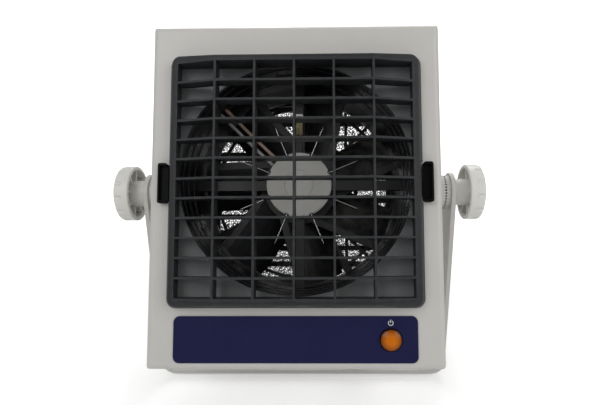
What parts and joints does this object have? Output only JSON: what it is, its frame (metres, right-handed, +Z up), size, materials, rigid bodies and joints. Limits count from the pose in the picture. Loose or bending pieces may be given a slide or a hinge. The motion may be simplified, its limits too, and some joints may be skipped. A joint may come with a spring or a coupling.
{
  "type": "ionizing blower",
  "caption": "Benchtop ionizing air blower: a steel box with a fan behind an emitter and a removable grille, tilting in a bent steel stand with two clamp knobs",
  "frame": {"origin": "on the underside of the steel foot, midway between its two screw holes and straight under the tilt axis; the rubber feet reach 2 mm lower", "axes": "+Z up, -Y towards the user in front of the grille, +X to the right of someone facing the grille"},
  "size_m": [0.2076, 0.1406, 0.2023],
  "materials": {
    "painted_steel": "satin light warm grey powder coat",
    "ring_plastic": "light grey moulded nylon",
    "rubber": "soft black rubber",
    "zinc_steel": "bright zinc plated",
    "slate_plastic": "dark slate, fine moulded grain",
    "baffle_plastic": "dark grey, grained",
    "black_plastic": "black, slightly glossy",
    "gloss_black": "glossy black",
    "fan_plastic": "black glass-filled plastic",
    "fan_metal": "black coated die casting",
    "motor_winding": "laminated stack and windings",
    "label_film": "satin navy film",
    "amber_lens": "translucent amber",
    "brass": "turned brass",
    "hub_plastic": "light grey moulded plastic",
    "needle_steel": "ground stainless steel",
    "pin_metal": "nickel plated",
    "lead_insulation": "light grey silicone insulation",
    "bristle": "beige bristles",
    "foam": "open-cell reticulated foam",
    "potting": "black potted block",
    "circuit_board": "green solder mask",
    "board_parts": "dark components",
    "knob_plastic": "near-white moulded plastic"
  },
  "bodies": {
    "stand": {"stand_bracket": "painted_steel", "arm_ratchet_left": "ring_plastic", "arm_ratchet_right": "ring_plastic", "rubber_feet": "rubber"},
    "housing": {"housing_shell": "painted_steel", "corner_brackets": "zinc_steel", "rear_panel": "painted_steel", "rear_screws": "zinc_steel", "baffle_panel": "baffle_plastic", "duct_ring": "black_plastic", "label_plate": "label_film", "lamp_bezel": "gloss_black", "lamp_lens": "amber_lens", "lamp_body": "black_plastic", "body_ratchet_left": "ring_plastic", "body_ratchet_right": "ring_plastic", "threaded_inserts": "brass", "emitter_frame": "black_plastic", "emitter_hub": "hub_plastic", "emitter_needles": "needle_steel", "hv_leads": "lead_insulation", "fan_frame": "fan_metal", "fan_stator": "motor_winding", "fan_bearings": "zinc_steel", "fan_screws": "zinc_steel", "filter_frame": "black_plastic", "filter_foam": "foam", "hv_module": "potting", "control_board": "circuit_board", "board_parts": "board_parts", "board_standoffs": "brass", "power_inlet": "black_plastic", "inlet_pins": "pin_metal", "inlet_screws": "zinc_steel", "switch_bezel": "black_plastic", "speed_control": "zinc_steel"},
    "grille_panel": {"grille": "slate_plastic"},
    "latch_button_left": {"latch_left": "gloss_black"},
    "latch_button_right": {"latch_right": "gloss_black"},
    "rotor": {"fan_rotor": "fan_plastic", "fan_shaft": "zinc_steel"},
    "brush": {"brush_arm": "black_plastic", "brush_clip": "pin_metal", "brush_bristles": "bristle"},
    "knob_left": {"clamp_knob_left": "knob_plastic", "knob_stud_left": "zinc_steel"},
    "knob_right": {"clamp_knob_right": "knob_plastic", "knob_stud_right": "zinc_steel"},
    "rear_cover": {"filter_cover": "black_plastic"},
    "rocker": {"switch_rocker": "gloss_black"},
    "speed": {"speed_knob": "black_plastic"}
  },
  "joints": [
    {"name": "tilt", "type": "hinge", "parent": "stand", "child": "housing", "pos_m": [0, 0, 0.111], "axis": [1, 0, 0], "range_deg": [-60, 120]},
    {"name": "knob_left_turn", "type": "hinge", "parent": "housing", "child": "knob_left", "pos_m": [-0.095, 0, 0.111], "axis": [1, 0, 0], "continuous": true},
    {"name": "knob_right_turn", "type": "hinge", "parent": "housing", "child": "knob_right", "pos_m": [0.095, 0, 0.111], "axis": [1, 0, 0], "continuous": true},
    {"name": "fan_spin", "type": "hinge", "parent": "housing", "child": "rotor", "pos_m": [0, 0.01041, 0.10903], "axis": [0, -0.866, 0.5], "continuous": true},
    {"name": "brush_turn", "type": "hinge", "parent": "housing", "child": "brush", "pos_m": [0, -0.00431, 0.11753], "axis": [0, -0.866, 0.5], "continuous": true},
    {"name": "grille_off", "type": "slide", "parent": "housing", "child": "grille_panel", "axis": [0, -0.866, 0.5], "range_m": [0, 0.03]},
    {"name": "latch_left_press", "type": "slide", "parent": "grille_panel", "child": "latch_button_left", "axis": [1, 0, 0], "range_m": [0, 0.0015], "stiffness_N_per_m": 500},
    {"name": "latch_right_press", "type": "slide", "parent": "grille_panel", "child": "latch_button_right", "axis": [-1, 0, 0], "range_m": [0, 0.0015], "stiffness_N_per_m": 500},
    {"name": "filter_cover_off", "type": "slide", "parent": "housing", "child": "rear_cover", "axis": [0, 0.866, -0.5], "range_m": [0, 0.025]},
    {"name": "rocker_switch", "type": "hinge", "parent": "housing", "child": "rocker", "pos_m": [-0.006, -0.01668, 0.03311], "axis": [0, 0.5, 0.866], "range_deg": [0, 16]},
    {"name": "speed_turn", "type": "hinge", "parent": "housing", "child": "speed", "pos_m": [0.034, -0.01235, 0.03061], "axis": [0, 0.866, -0.5], "range_deg": [-140, 140]}
  ]
}
